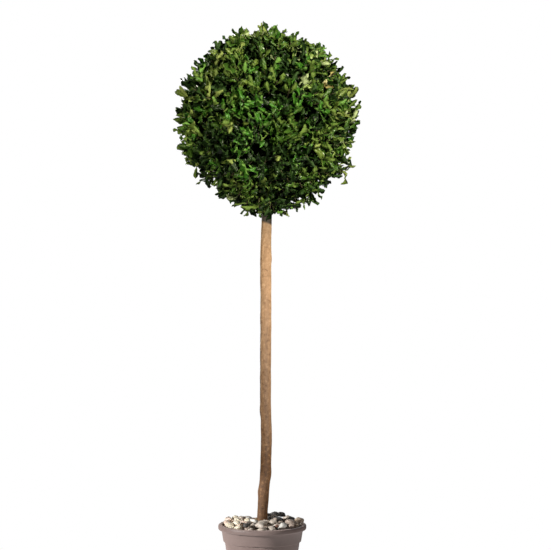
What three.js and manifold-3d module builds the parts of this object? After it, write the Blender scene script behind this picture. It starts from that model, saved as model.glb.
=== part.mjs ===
// Potted ball topiary: a clipped ball of leaves on one bare stem, in a plastic pot dressed with pebbles.
// Millimetres, +Z up. The origin is the centre of the pot's flat underside.

import * as THREE from "three";
import { mergeVertices } from "three/addons/utils/BufferGeometryUtils.js";
import Module from "manifold-3d";

const wasm = await Module();
wasm.setup();

// Driving dimensions

const CLEARANCE = 0.3; // left between pieces that touch on the real plant

const POT = {
  height: 168,
  rimRadius: 100, // outside of the rolled lip
  lipHeight: 12,
  lipInset: 9, // from the outside of the lip to the mouth
  collarTopRadius: 92.5,
  collarFootRadius: 88.5,
  collarHeight: 27,
  step: 3.5, // the wall steps in under the collar
  footRadius: 66,
  footBevel: 2.5,
  wall: 2.2,
  floor: 3,
  sides: 40,
};

const DRAINS = { count: 6, radius: 6, circleRadius: 44, sides: 10 };

const MIX_TOP = 139; // surface of the potting mix, hidden by the pebbles

const PEBBLES = {
  bedTop: 161,
  count: 52,
  smallest: 10, // half lengths
  largest: 14.5,
  flattening: 0.62,
  heap: 18, // how far the middle and the back right stand above the bed
  seed: 41,
};

const BALL = {
  centre: new THREE.Vector3(11, 2, 1086),
  radius: 208, // mean outline, through the leaf tips
  mostReach: 1.07, // of an ordinary leaf tip, as a share of the radius
  coreShare: 0.83, // the dense twiggy middle, as a share of the radius
  coreLumps: 0.04, // how far the core's clumps stand in or out, as a share of its radius
  coreDetail: 4,
  boughs: 16,
  twigs: 122,
  seed: 23,
};

// Shoots that stand out furthest at the outline: degrees round from +X towards +Z, and reach from the centre.
const STRAYS = [
  { angle: 92, reach: 226 },
  { angle: 15, reach: 219 },
  { angle: 53, reach: 218 },
  { angle: 108, reach: 222 },
  { angle: 174, reach: 216 },
  { angle: 204, reach: 229 },
  { angle: 242, reach: 218 },
  { angle: 262, reach: 214 },
  { angle: 281, reach: 221 },
  { angle: 300, reach: 228 },
  { angle: 325, reach: 242 },
];

// A leaf of the solids stands for a few of the plant's small ones.
const LEAF = {
  length: 45,
  width: 30,
  thickness: 3.2, // where it leaves its twig
  spacing: 17, // least distance between the middles of two leaves
};

const TWIG = { sides: 3, footRadius: 3.6, radius: 2.6 };

// The whorls on one twig, from the lowest out: how far their leaves lean from the twig, and their size.
const WHORLS = [
  { lean: 1.1, size: 1 },
  { lean: 0.5, size: 0.72 },
];

const STEM = {
  footRadius: 13,
  midRadius: 12,
  tipRadius: 10.5,
  flare: 1.6, // extra radius at the foot
  flareHeight: 45,
  tipBelowCentre: 70,
  sides: 14,
  rings: 30,
};

// The stem's lean and bends: how far its middle stands off the pot's axis at each height.
const STEM_LINE = [
  [0, 0, MIX_TOP + CLEARANCE],
  [0, 0, 175],
  [6.2, 2, 285],
  [8.2, 3, 345],
  [6, 2, 455],
  [7, -2, 650],
  [7, -2, 780],
  [10, 1, 850],
  [BALL.centre.x, BALL.centre.y, 890],
  [BALL.centre.x, BALL.centre.y, BALL.centre.z - STEM.tipBelowCentre],
].map((place) => new THREE.Vector3(...place));

// Old leaf scars that swell the stem: height, bearing, swelling, and reach along the stem.
const KNOTS = [
  { height: 425, bearing: Math.PI, swelling: 2.2, reach: 14 },
  { height: 770, bearing: 0.2, swelling: 1.3, reach: 10 },
  { height: 505, bearing: -1.4, swelling: 1.4, reach: 16 },
  { height: 640, bearing: 2.3, swelling: 1.2, reach: 12 },
];

const MATERIALS = {
  pot: new THREE.MeshStandardMaterial({ color: 0x8f7d77, roughness: 0.55, metalness: 0 }),
  mix: new THREE.MeshStandardMaterial({ color: 0x3a2c22, roughness: 0.95, metalness: 0 }),
  pebbles: new THREE.MeshStandardMaterial({ color: 0xb3a493, roughness: 0.7, metalness: 0 }),
  bark: new THREE.MeshStandardMaterial({ color: 0xa98056, roughness: 0.8, metalness: 0 }),
  leaves: new THREE.MeshStandardMaterial({ color: 0x3f5a1c, roughness: 0.45, metalness: 0 }),
};

// Helpers

// A small seeded generator, so that the plant grows the same way every time.
function seeded(seed) {
  let state = seed;
  return () => {
    state = (state + 0x6d2b79f5) | 0;
    let mixed = Math.imul(state ^ (state >>> 15), 1 | state);
    mixed = (mixed + Math.imul(mixed ^ (mixed >>> 7), 61 | mixed)) ^ mixed;
    return ((mixed ^ (mixed >>> 14)) >>> 0) / 4294967296;
  };
}

function between(random, low, high) {
  return low + (high - low) * random();
}

function solidOf(geometry) {
  const bare = new THREE.BufferGeometry();
  bare.setAttribute("position", geometry.getAttribute("position"));
  bare.setIndex(geometry.index);
  const merged = mergeVertices(bare, 1e-4);
  return new wasm.Manifold(
    new wasm.Mesh({
      numProp: 3,
      vertProperties: new Float32Array(merged.getAttribute("position").array),
      triVerts: new Uint32Array(merged.index.array),
    }),
  );
}

function geometryOf(solid) {
  const mesh = solid.getMesh();
  const geometry = new THREE.BufferGeometry();
  geometry.setAttribute("position", new THREE.BufferAttribute(mesh.vertProperties, 3));
  geometry.setIndex(new THREE.BufferAttribute(mesh.triVerts, 1));
  geometry.computeVertexNormals();
  return geometry;
}

// The main body of several fused solids: loose scraps are dropped and sealed hollows filled.
function fused(solids) {
  const bodies = wasm.Manifold.union(solids).decompose();
  return bodies.reduce((best, body) => (body.volume() > best.volume() ? body : best));
}

function turned(profile, sides) {
  const points = profile.map(([radius, height]) => new THREE.Vector2(radius, height));
  return new THREE.LatheGeometry(points, sides).rotateX(Math.PI / 2);
}

// A closed limb along a curve. radiusAt takes the share of the way along, the outward way and the middle.
function limb(curve, rings, sides, radiusAt) {
  const positions = [];
  const index = [];
  const normal = new THREE.Vector3();
  const { normals, binormals } = curve.computeFrenetFrames(rings, false);
  for (let ring = 0; ring <= rings; ring++) {
    const middle = curve.getPointAt(ring / rings);
    for (let side = 0; side < sides; side++) {
      const bearing = (side / sides) * 2 * Math.PI;
      normal.copy(normals[ring]).multiplyScalar(Math.cos(bearing));
      normal.addScaledVector(binormals[ring], Math.sin(bearing));
      const place = middle.clone().addScaledVector(normal, radiusAt(ring / rings, normal, middle));
      positions.push(place.x, place.y, place.z);
      if (ring < rings) {
        const here = ring * sides + side;
        const next = ring * sides + ((side + 1) % sides);
        index.push(here, next, here + sides, next, next + sides, here + sides);
      }
    }
  }
  const last = rings * sides;
  for (let side = 1; side < sides - 1; side++) {
    index.push(0, side + 1, side);
    index.push(last, last + side, last + side + 1);
  }
  const geometry = new THREE.BufferGeometry();
  geometry.setAttribute("position", new THREE.Float32BufferAttribute(positions, 3));
  geometry.setIndex(index);
  return geometry;
}

// Evenly spread directions on a sphere, each nudged a little.
function spreadDirections(count, nudge, random) {
  const golden = Math.PI * (3 - Math.sqrt(5));
  return Array.from({ length: count }, (_, i) => {
    const height = 1 - (2 * i + 1) / count;
    const level = Math.sqrt(1 - height * height);
    const way = new THREE.Vector3(level * Math.cos(golden * i), level * Math.sin(golden * i), height);
    way.x += between(random, -nudge, nudge);
    way.y += between(random, -nudge, nudge);
    way.z += between(random, -nudge, nudge);
    return way.normalize();
  });
}

function named(name, geometry, material) {
  const mesh = new THREE.Mesh(geometry, material);
  mesh.name = name;
  return mesh;
}

// Pot

const lipFoot = POT.height - POT.lipHeight;
const collarFoot = lipFoot - POT.collarHeight;
const wallTopRadius = POT.collarFootRadius - POT.step;
const mouthRadius = POT.rimRadius - POT.lipInset;

// Radius of the pot's inside at a height: a tapered wall, a wider collar, and the mouth in the lip.
function insideRadius(height) {
  const wallShare = Math.min(height / collarFoot, 1);
  const wallRadius = THREE.MathUtils.lerp(POT.footRadius, wallTopRadius, wallShare) - POT.wall;
  const collarShare = THREE.MathUtils.clamp((height - collarFoot) / POT.collarHeight, 0, 1);
  return THREE.MathUtils.lerp(wallRadius, mouthRadius, collarShare);
}

function potGeometry() {
  const lipRound = POT.lipHeight / 3;
  const profile = [
    [0, 0],
    [POT.footRadius - POT.footBevel, 0],
    [POT.footRadius, POT.footBevel],
    [wallTopRadius, collarFoot],
    [POT.collarFootRadius, collarFoot + POT.step / 2],
    [POT.collarTopRadius, lipFoot],
    [POT.rimRadius - lipRound, lipFoot],
    [POT.rimRadius, lipFoot + lipRound],
    [POT.rimRadius, POT.height - lipRound],
    [POT.rimRadius - lipRound, POT.height],
    [mouthRadius + lipRound / 2, POT.height],
    [mouthRadius, POT.height - lipRound / 2],
    [mouthRadius, lipFoot],
    [insideRadius(collarFoot), collarFoot],
    [insideRadius(POT.floor), POT.floor],
    [0, POT.floor],
  ];
  const shell = solidOf(turned(profile, POT.sides));
  const drains = Array.from({ length: DRAINS.count }, (_, i) => {
    const bearing = ((i + 0.5) / DRAINS.count) * 2 * Math.PI;
    const drill = new THREE.CylinderGeometry(DRAINS.radius, DRAINS.radius, 4 * POT.floor, DRAINS.sides);
    drill.rotateX(Math.PI / 2);
    drill.translate(DRAINS.circleRadius * Math.cos(bearing), DRAINS.circleRadius * Math.sin(bearing), 0);
    return solidOf(drill);
  });
  return geometryOf(drains.reduce((pot, drill) => pot.subtract(drill), shell));
}

function mixGeometry() {
  const bottom = POT.floor + CLEARANCE;
  const profile = [
    [0, bottom],
    [insideRadius(bottom) - CLEARANCE, bottom],
    [insideRadius(collarFoot) - CLEARANCE, collarFoot],
    [insideRadius(MIX_TOP) - CLEARANCE, MIX_TOP],
    [0, MIX_TOP],
  ];
  return turned(profile, POT.sides);
}

// Stem

const stemCurve = new THREE.CatmullRomCurve3(STEM_LINE, false, "centripetal");
const stemFoot = STEM_LINE[0].z;
const stemTip = STEM_LINE[STEM_LINE.length - 1];

function stemRadius(share, outward, middle) {
  const lower = THREE.MathUtils.lerp(STEM.footRadius, STEM.midRadius, Math.min(2 * share, 1));
  const radius = share < 0.5 ? lower : THREE.MathUtils.lerp(STEM.midRadius, STEM.tipRadius, 2 * share - 1);
  const flare = STEM.flare * Math.max(0, 1 - (middle.z - stemFoot) / STEM.flareHeight) ** 2;
  const swelling = KNOTS.reduce((sum, knot) => {
    const facing = outward.x * Math.cos(knot.bearing) + outward.y * Math.sin(knot.bearing);
    const along = (middle.z - knot.height) / knot.reach;
    return sum + knot.swelling * Math.max(0, facing) ** 3 * Math.exp(-along * along);
  }, 0);
  return radius + flare + swelling;
}

function stemGeometry(extra = 0) {
  return limb(stemCurve, STEM.rings, STEM.sides, (...where) => stemRadius(...where) + extra);
}

// A short upright plug between two heights.
function plug(place, radius, bottom, top) {
  const geometry = new THREE.CylinderGeometry(radius, radius, top - bottom, STEM.sides).rotateX(Math.PI / 2);
  return solidOf(geometry.translate(place.x, place.y, (bottom + top) / 2));
}

// The stem with the clearance that its neighbours keep, longer at both ends.
function stemRoom() {
  const footWidth = STEM.footRadius + STEM.flare + 2 * CLEARANCE;
  const tipWidth = STEM.tipRadius + 2 * CLEARANCE;
  return wasm.Manifold.union([
    solidOf(stemGeometry(CLEARANCE)),
    plug(STEM_LINE[0], footWidth, stemFoot - 5, stemFoot + 5),
    plug(stemTip, tipWidth, stemTip.z - 5, stemTip.z + CLEARANCE),
  ]);
}

// Pebbles

// The pebbles lie in a low heap, highest beside the stem and at the back right.
function heapHeight(x, y) {
  const share = Math.hypot(x, y) / mouthRadius;
  const backRight = Math.max(0, (x + 0.6 * y) / mouthRadius);
  return PEBBLES.heap * (0.55 * (1 - share * share) + 0.45 * backRight);
}

// One flattened stone, placed by its share of the way from the middle of the pot to the wall.
function pebble(random, share, bearing) {
  const half = between(random, PEBBLES.smallest, PEBBLES.largest);
  const out = share * (mouthRadius - CLEARANCE - half);
  const [x, y] = [out * Math.cos(bearing), out * Math.sin(bearing)];
  const stone = new THREE.IcosahedronGeometry(1, 0);
  stone.scale(half, half * between(random, 0.7, 0.95), half * PEBBLES.flattening);
  stone.rotateX(between(random, -0.4, 0.4));
  stone.rotateY(between(random, -0.4, 0.4));
  stone.rotateZ(between(random, 0, 2 * Math.PI));
  stone.translate(x, y, PEBBLES.bedTop + heapHeight(x, y));
  return solidOf(stone);
}

function pebbleGeometry() {
  const random = seeded(PEBBLES.seed);
  const golden = Math.PI * (3 - Math.sqrt(5));
  const bottom = MIX_TOP + CLEARANCE;
  const bed = turned(
    [
      [0, bottom],
      [insideRadius(bottom) - CLEARANCE, bottom],
      [insideRadius(lipFoot) - CLEARANCE, lipFoot],
      [insideRadius(lipFoot) - CLEARANCE, PEBBLES.bedTop],
      [0, PEBBLES.bedTop + PEBBLES.heap / 3],
    ],
    POT.sides,
  );
  const stones = Array.from({ length: PEBBLES.count }, (_, i) => {
    const share = Math.sqrt((i + 0.5) / PEBBLES.count);
    return pebble(random, share, golden * i + between(random, -0.1, 0.1));
  });
  return geometryOf(fused([fused([solidOf(bed), ...stones]).subtract(stemRoom())]));
}

// Foliage ball

// The left side, tip and right side of a cupped leaf that grows from a place on a twig.
function leafOutline(place, way, outward, lean, length) {
  const along = way.clone().multiplyScalar(Math.cos(lean)).addScaledVector(outward, Math.sin(lean));
  const face = way.clone().multiplyScalar(Math.sin(lean)).addScaledVector(outward, -Math.cos(lean));
  const across = new THREE.Vector3().crossVectors(way, outward);
  const half = (LEAF.width * length) / LEAF.length / 2;
  const widest = place.clone().addScaledVector(along, 0.54 * length).addScaledVector(face, half / 4);
  const left = widest.clone().addScaledVector(across, -half);
  const right = widest.clone().addScaledVector(across, half);
  return [left, place.clone().addScaledVector(along, length), right];
}

// One leafy twig as one closed mesh. Each whorl is a ring of corners round the twig, and a leaf of eight
// faces grows between each two corners where hasRoom lets it.
function sprayGeometry(foot, way, whorls, hasRoom) {
  const across = new THREE.Vector3(way.y, way.z, way.x).cross(way).normalize();
  const places = [];
  const index = [];
  const aside = (turn, step) => across.clone().applyAxisAngle(way, turn + (step / TWIG.sides) * 2 * Math.PI);
  const addRing = (middle, radius, turn) => {
    for (let i = 0; i < TWIG.sides; i++) {
      places.push(middle.clone().addScaledVector(aside(turn, i), radius));
    }
    return places.length - TWIG.sides;
  };
  let below = addRing(foot, TWIG.footRadius, whorls[0].turn);
  index.push(below, below + 2, below + 1);
  for (const { middle, lean, length, turn } of whorls) {
    const lower = addRing(middle.clone().addScaledVector(way, -LEAF.thickness / 2), TWIG.radius, turn);
    const upper = addRing(middle.clone().addScaledVector(way, LEAF.thickness / 2), TWIG.radius, turn);
    for (let i = 0; i < TWIG.sides; i++) {
      const j = (i + 1) % TWIG.sides;
      index.push(below + i, below + j, lower + i, below + j, lower + j, lower + i);
      const outline = leafOutline(middle, way, aside(turn, i + 0.5), lean, length);
      if (!hasRoom(outline)) {
        index.push(lower + i, lower + j, upper + i, lower + j, upper + j, upper + i);
        continue;
      }
      const left = places.push(...outline) - outline.length;
      const [tip, right] = [left + 1, left + 2];
      index.push(lower + i, lower + j, tip, lower + j, right, tip, lower + i, tip, left);
      index.push(upper + j, upper + i, tip, upper + j, tip, right, upper + i, left, tip);
      index.push(upper + j, right, lower + j, lower + i, left, upper + i);
    }
    below = upper;
  }
  index.push(below, below + 1, below + 2);
  const geometry = new THREE.BufferGeometry().setFromPoints(places);
  geometry.setIndex(index);
  return geometry;
}

function straightLimb(from, to, baseRadius, tipRadius) {
  const line = new THREE.LineCurve3(from, to);
  return solidOf(limb(line, 1, 3, (share) => THREE.MathUtils.lerp(baseRadius, tipRadius, share)));
}

// True where a leaf's outline has room of its own, within reach and clear of the stem.
function roomFor(outline, reach, leafTips) {
  const tip = outline[1];
  if (leafTips.some((other) => other.distanceTo(tip) < LEAF.spacing)) return false;
  return outline.every((corner) => {
    const offStem = Math.hypot(corner.x - BALL.centre.x, corner.y - BALL.centre.y);
    const clearOfStem = corner.z > stemTip.z || offStem > 2 * STEM.midRadius;
    return clearOfStem && corner.distanceTo(BALL.centre) <= reach;
  });
}

// A twig from a bough's tip, whose outermost leaves give its reach.
function leafyTwig(from, way, reach, leafTips, random) {
  const start = between(random, 0, 2 * Math.PI);
  const whorls = WHORLS.map(({ lean, size }, tier) => ({
    lean: lean + between(random, -0.14, 0.14),
    length: LEAF.length * size * between(random, 0.85, 1.12),
    turn: start + (tier * Math.PI) / TWIG.sides,
  }));
  const top = whorls[whorls.length - 1];
  const first = BALL.radius * BALL.coreShare + LEAF.thickness;
  const last = Math.max(reach - top.length * Math.cos(top.lean), first + 2 * LEAF.thickness);
  whorls.forEach((whorl, tier) => {
    const out = THREE.MathUtils.lerp(first, last, tier / (whorls.length - 1));
    whorl.middle = BALL.centre.clone().addScaledVector(way, out);
  });
  const hasRoom = (outline) => {
    const room = roomFor(outline, Math.max(reach + 2, BALL.mostReach * BALL.radius), leafTips);
    if (room) leafTips.push(outline[1]);
    return room;
  };
  return solidOf(sprayGeometry(from, way, whorls, hasRoom));
}

// The dense middle of the ball, lumpy with clumps of twigs.
function coreGeometry(random) {
  const core = mergeVertices(
    new THREE.IcosahedronGeometry(1, BALL.coreDetail).deleteAttribute("normal").deleteAttribute("uv"),
  );
  const corners = core.getAttribute("position");
  const corner = new THREE.Vector3();
  for (let i = 0; i < corners.count; i++) {
    const lump = 1 + between(random, -BALL.coreLumps, BALL.coreLumps);
    corner.fromBufferAttribute(corners, i).multiplyScalar(BALL.radius * BALL.coreShare * lump);
    corner.add(BALL.centre);
    corners.setXYZ(i, corner.x, corner.y, corner.z);
  }
  return core;
}

function ballGeometry() {
  const random = seeded(BALL.seed);
  const root = stemTip.clone().add(new THREE.Vector3(0, 0, CLEARANCE));
  const leader = straightLimb(root, BALL.centre, STEM.tipRadius / 2, STEM.tipRadius / 3);
  const halfWay = (way) => BALL.centre.clone().addScaledVector(way, 0.5 * BALL.radius);
  const boughTips = spreadDirections(BALL.boughs, 0.1, random).map(halfWay);
  const boughs = boughTips.map((tip) => straightLimb(BALL.centre, tip, 5, 3.4));
  const shoots = STRAYS.map(({ angle, reach }) => {
    const turn = THREE.MathUtils.degToRad(angle);
    return { way: new THREE.Vector3(Math.cos(turn), 0, Math.sin(turn)), reach };
  });
  for (const way of spreadDirections(BALL.twigs, 0.07, random)) {
    shoots.push({ way, reach: BALL.radius * between(random, 0.94, 1.04) });
  }
  const leafTips = [];
  const twigs = shoots.map(({ way, reach }) => {
    const heading = halfWay(way);
    const nearest = boughTips.reduce((best, tip) =>
      tip.distanceTo(heading) < best.distanceTo(heading) ? tip : best,
    );
    return leafyTwig(nearest, way, reach, leafTips, random);
  });
  const whole = fused([solidOf(coreGeometry(random)), leader, ...boughs, ...twigs]);
  return geometryOf(fused([whole.subtract(stemRoom())]));
}

// Assembly

const topiary = new THREE.Group();
topiary.name = "potted_ball_topiary";
topiary.add(
  named("pot", potGeometry(), MATERIALS.pot),
  named("potting_mix", mixGeometry(), MATERIALS.mix),
  named("pebbles", pebbleGeometry(), MATERIALS.pebbles),
  named("stem", stemGeometry(), MATERIALS.bark),
  named("foliage_ball", ballGeometry(), MATERIALS.leaves),
);

export default topiary;
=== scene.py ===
# %% [markdown]
# # A potted ball topiary
#
# A clipped ball of small leathery leaves stands on one bare stem, in a moulded plastic pot that is dressed
# with pebbles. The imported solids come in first, as a fixed frame in metres. Every piece that is modelled
# below takes the place of one of those solids, so nothing has to be fitted afterwards.

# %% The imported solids
import math

import bmesh
import bpy
import numpy as np
from mathutils import Euler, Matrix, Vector, noise


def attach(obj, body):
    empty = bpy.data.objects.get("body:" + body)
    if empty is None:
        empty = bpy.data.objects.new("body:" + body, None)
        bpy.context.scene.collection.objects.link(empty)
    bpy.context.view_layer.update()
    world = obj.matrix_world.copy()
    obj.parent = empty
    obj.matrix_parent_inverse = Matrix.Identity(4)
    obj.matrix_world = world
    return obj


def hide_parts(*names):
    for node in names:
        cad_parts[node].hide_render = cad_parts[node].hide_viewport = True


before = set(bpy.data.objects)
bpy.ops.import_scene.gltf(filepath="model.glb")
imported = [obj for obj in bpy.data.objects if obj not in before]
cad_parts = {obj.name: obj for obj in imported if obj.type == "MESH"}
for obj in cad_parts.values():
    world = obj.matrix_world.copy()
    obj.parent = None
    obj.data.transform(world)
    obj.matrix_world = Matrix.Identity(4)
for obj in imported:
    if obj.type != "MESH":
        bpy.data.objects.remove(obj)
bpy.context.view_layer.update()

MM = 0.001
print("solids:", ", ".join(sorted(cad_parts)))

# %% [markdown]
# ## Colours and nodes
#
# A colour is written as the sRGB hex value that a picture editor shows, and shaders want linear light, so one
# function turns it. A second one adds a node, sets it up and wires its inputs. With these two, a material
# reads from top to bottom like a recipe.

# %% Helpers for materials
def colour(code):
    """Linear colour of an sRGB hex value."""
    shares = [int(code[place : place + 2], 16) / 255 for place in (1, 3, 5)]
    linear = [share / 12.92 if share <= 0.04045 else ((share + 0.055) / 1.055) ** 2.4 for share in shares]
    return (*linear, 1.0)


def blank(name):
    """An empty material and its node tree."""
    material = bpy.data.materials.new(name)
    material.use_nodes = True
    material.node_tree.nodes.clear()
    return material, material.node_tree


def add(tree, kind, inputs=None, **settings):
    """Adds a node. Each input gets a value, or the output of another node."""
    node = tree.nodes.new("ShaderNode" + kind)
    for name, value in settings.items():
        setattr(node, name, value)
    for socket, source in (inputs or {}).items():
        if isinstance(source, bpy.types.NodeSocket):
            tree.links.new(source, node.inputs[socket])
        else:
            node.inputs[socket].default_value = source
    return node.outputs


print("taupe in linear light:", [round(share, 3) for share in colour("#92807c")])

# %% [markdown]
# ## Working with operators
#
# An operator acts on all that is selected, and loading leaves the solids selected, so each piece starts by
# letting everything go. Points are then picked in code, by where they are. When a piece is done, its doubled
# points are merged and its faces turned outwards, because a closed skin is what a mesh file needs.

# %% Helpers for modelling
def deselect():
    """Leaves nothing selected."""
    bpy.ops.object.select_all(action="DESELECT")


def open_piece(name):
    """Names the new primitive, puts its place in its mesh and opens it with all its points selected."""
    piece = bpy.context.object
    piece.name = name
    piece.data.name = name
    bpy.ops.object.transform_apply(location=True, rotation=True, scale=True)
    bpy.ops.object.mode_set(mode="EDIT")
    bpy.ops.mesh.select_mode(type="VERT")
    bpy.ops.mesh.select_all(action="SELECT")
    return piece


def pick(piece, test):
    """Selects the points that pass a test."""
    shape = bmesh.from_edit_mesh(piece.data)
    for point in shape.verts:
        point.select = bool(test(point))
    shape.select_flush_mode()
    bmesh.update_edit_mesh(piece.data)


def close_piece(piece, merge):
    """Merges points closer than a distance, turns the faces outwards and leaves edit mode."""
    bpy.ops.mesh.select_all(action="SELECT")
    bpy.ops.mesh.remove_doubles(threshold=merge)
    bpy.ops.mesh.normals_make_consistent(inside=False)
    bpy.ops.object.mode_set(mode="OBJECT")
    return piece


def apply_modifier(piece, kind, **settings):
    """Adds a modifier to a piece, sets it up and applies it."""
    modifier = piece.modifiers.new(kind.lower(), kind)
    for name, value in settings.items():
        setattr(modifier, name, value)
    bpy.context.view_layer.objects.active = piece
    bpy.ops.object.modifier_apply(modifier=modifier.name)


def extruded(name, rings, sides):
    """A closed limb or vessel: a disc extruded from ring to ring. A ring is x, y, z and its radius."""
    deselect()
    x, y, z, radius = rings[0]
    bpy.ops.mesh.primitive_circle_add(vertices=sides, radius=radius, fill_type="NGON", location=(x, y, z))
    piece = open_piece(name)
    for before, after in zip(rings, rings[1:]):
        step = tuple(end - start for start, end in zip(before[:3], after[:3]))
        bpy.ops.mesh.extrude_region_move(TRANSFORM_OT_translate={"value": step})
        wider = after[3] / before[3]
        bpy.ops.transform.resize(value=(wider, wider, 1))
    return close_piece(piece, 1e-6)


# %% Helpers for pieces that are done
def points_of(mesh):
    """The places of a mesh's points, one row each."""
    places = np.empty(len(mesh.vertices) * 3)
    mesh.vertices.foreach_get("co", places)
    return places.reshape(-1, 3)


def dress(piece, node, slot, *materials):
    """Gives a piece its materials, and lets it ride and stand for a solid. Prints what it came to."""
    for material in materials:
        piece.data.materials.append(material)
    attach(piece, "root")
    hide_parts(node)
    mesh = piece.data
    edge_of_corner = np.empty(len(mesh.loops), int)
    mesh.loops.foreach_get("edge_index", edge_of_corner)
    open_edges = np.count_nonzero(np.bincount(edge_of_corner, minlength=len(mesh.edges)) != 2)
    triangles = len(mesh.loops) - 2 * len(mesh.polygons)
    low = (points_of(mesh).min(0) / MM).round(1)
    high = (points_of(mesh).max(0) / MM).round(1)
    print(f"{piece.name}: {triangles} triangles, {open_edges} open edges, mm {low} to {high}")


# %% [markdown]
# ## Stage
#
# The photograph is a cut-out on white, taken level with the middle of the plant. A dome of white light would
# be easy, but it fills every gap in the ball with light, and the gaps make the leaves stand out. So the
# white is only what the camera sees, and lamps with a narrow cone light the ball, the stem and the pot each
# in its own way: the ball from both sides of the camera, the stem from the front, and the pot from the left,
# where the shade under its lip shows that its light came from. Three lamps behind light the other views.

# %% Camera
IMAGE_WIDTH = 551
PIXEL = 2.27 * MM  # what one pixel spans at the stem
CAMERA_PLACE = (0.030, -3.6, 0.733)

bpy.ops.object.camera_add(location=CAMERA_PLACE, rotation=(math.pi / 2, 0, 0))
camera = bpy.context.object
camera.data.sensor_width = 36
camera.data.lens = camera.data.sensor_width * -CAMERA_PLACE[1] / (IMAGE_WIDTH * PIXEL)
bpy.context.scene.camera = camera
print(f"lens {camera.data.lens:.1f} mm")

# %% Lamps
BALL = (0.01, 0, 1.1)
STEM = (0, 0, 0.47)
POT = (0, 0, 0.09)
WARM = (1.0, 0.97, 0.86)
WHITE = (1.0, 1.0, 1.0)
SPOTS = [
    # name, place, what it is aimed at, watts, colour, cone in radians, softness of its edge, radius
    ("right_ball_lamp", (1.7, -2.55, 1.7), BALL, 525, WARM, 0.36, 1.0, 0.04),
    ("left_ball_lamp", (-1.8, -2.4, 1.15), BALL, 225, WARM, 0.36, 1.0, 0.04),
    ("back_ball_lamp", (-1.6, 2.7, 1.6), BALL, 330, WARM, 0.36, 1.0, 0.04),
    ("stem_lamp", (0.5, -2.2, 0.45), STEM, 177, WHITE, 0.29, 1.0, 0.04),
    ("back_stem_lamp", (-0.7, 2.1, 0.45), STEM, 100, WHITE, 0.29, 1.0, 0.04),
    ("pot_lamp", (-2.0, -1.04, 0.97), POT, 285, WHITE, 0.16, 0.4, 0.012),
]
PANELS = [
    # name, place, what it is aimed at, watts, width
    ("pot_fill", (0.75, -1.1, 0.4), POT, 1.8, 0.3),
    ("back_fill", (0.8, 2.6, 2.2), STEM, 14, 1.0),
]


def add_lamp(kind, name, place, target, watts):
    """A lamp that points at a target."""
    bpy.ops.object.light_add(type=kind, location=place)
    lamp = bpy.context.object
    lamp.name = name
    lamp.rotation_euler = (Vector(target) - lamp.location).to_track_quat("-Z", "Y").to_euler()
    lamp.data.energy = watts
    return lamp.data


for name, place, target, watts, tone, cone, softness, radius in SPOTS:
    light = add_lamp("SPOT", name, place, target, watts)
    light.color = tone
    light.spot_size = cone
    light.spot_blend = softness
    light.shadow_soft_size = radius
for name, place, target, watts, width in PANELS:
    add_lamp("AREA", name, place, target, watts).size = width
print(len(SPOTS), "spots and", len(PANELS), "panels")

# %% White surroundings
GLOW = 0.02  # what the white surroundings give the object, next to what the camera sees of them

scene = bpy.context.scene
scene.view_settings.view_transform = "Standard"
scene.world = bpy.data.worlds.new("white_studio")
scene.world.use_nodes = True
tree = scene.world.node_tree
tree.nodes.clear()
seen = add(tree, "LightPath")["Is Camera Ray"]
dim = add(tree, "Background", {"Color": (1, 1, 1, 1), "Strength": GLOW})[0]
white = add(tree, "Background", {"Color": (1, 1, 1, 1), "Strength": 1.0})[0]
surround = add(tree, "MixShader", {0: seen, 1: dim, 2: white})[0]
add(tree, "OutputWorld", {"Surface": surround})
print("view transform:", scene.view_settings.view_transform)

# %% [markdown]
# The floor is a plain pale disc. It glows a little, so that the lamps draw only faint shadows on it, and its
# rim fades to clear, so that it melts into the white behind it.

# %% Floor
FLOOR_RADIUS = 0.6
FADE_START = 0.25
FLOOR_DROP = 0.0005  # keeps the floor just clear of the pot's underside

deselect()
bpy.ops.mesh.primitive_circle_add(
    vertices=96, radius=FLOOR_RADIUS, fill_type="TRIFAN", location=(0, 0, -FLOOR_DROP)
)
floor = open_piece("floor")
bpy.ops.object.mode_set(mode="OBJECT")

painted, tree = blank("painted_studio_floor")
place = add(tree, "TexCoord")["Object"]
reach = add(tree, "VectorMath", {0: place}, operation="LENGTH")["Value"]
rim = add(tree, "MapRange", {"Value": reach, "From Min": FADE_START, "From Max": FLOOR_RADIUS})[0]
paint = {"Base Color": colour("#4e4d4c"), "Roughness": 0.9}
paint |= {"Emission Color": (1, 1, 1, 1), "Emission Strength": 0.86}
pale = add(tree, "BsdfPrincipled", paint)[0]
clear = add(tree, "BsdfTransparent")[0]
faded = add(tree, "MixShader", {0: rim, 1: pale, 2: clear})[0]
add(tree, "OutputMaterial", {"Surface": faded})
floor.data.materials.append(painted)
print("floor of", len(floor.data.polygons), "faces")

# %% [markdown]
# ## Pot
#
# The pot is moulded in one piece from thin plastic: a tapered wall, a collar that stands out by a step, and a
# rolled lip. It could be spun from a half profile. Here a disc is extruded ring by ring, up the outside, over
# the lip and down the inside, because each ring then shows as one radius at one height.

# %% Pot profile
# Sizes from here on are in mm, and are turned to metres as they go into a mesh.
POT_HEIGHT = 168
RIM_RADIUS = 100
MOUTH_RADIUS = 91
LIP_FOOT = 156
COLLAR_FOOT = 129
COLLAR_TOP_RADIUS = 92.5
COLLAR_FOOT_RADIUS = 88.5
WALL_TOP_RADIUS = 85
FOOT_RADIUS = 66
POT_WALL = 2.2
POT_FLOOR = 3
LIP_ROUND = 4
MOUTH_ROUND = 2
FOOT_ROUND = 2.5


def rounded(radius, height, bend, first, last, steps=5):
    """Points round a bend of the profile, from one angle to another, in degrees above the outward way."""
    angles = np.radians(np.linspace(first, last, steps))
    return [(radius + bend * math.cos(angle), height + bend * math.sin(angle)) for angle in angles]


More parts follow.
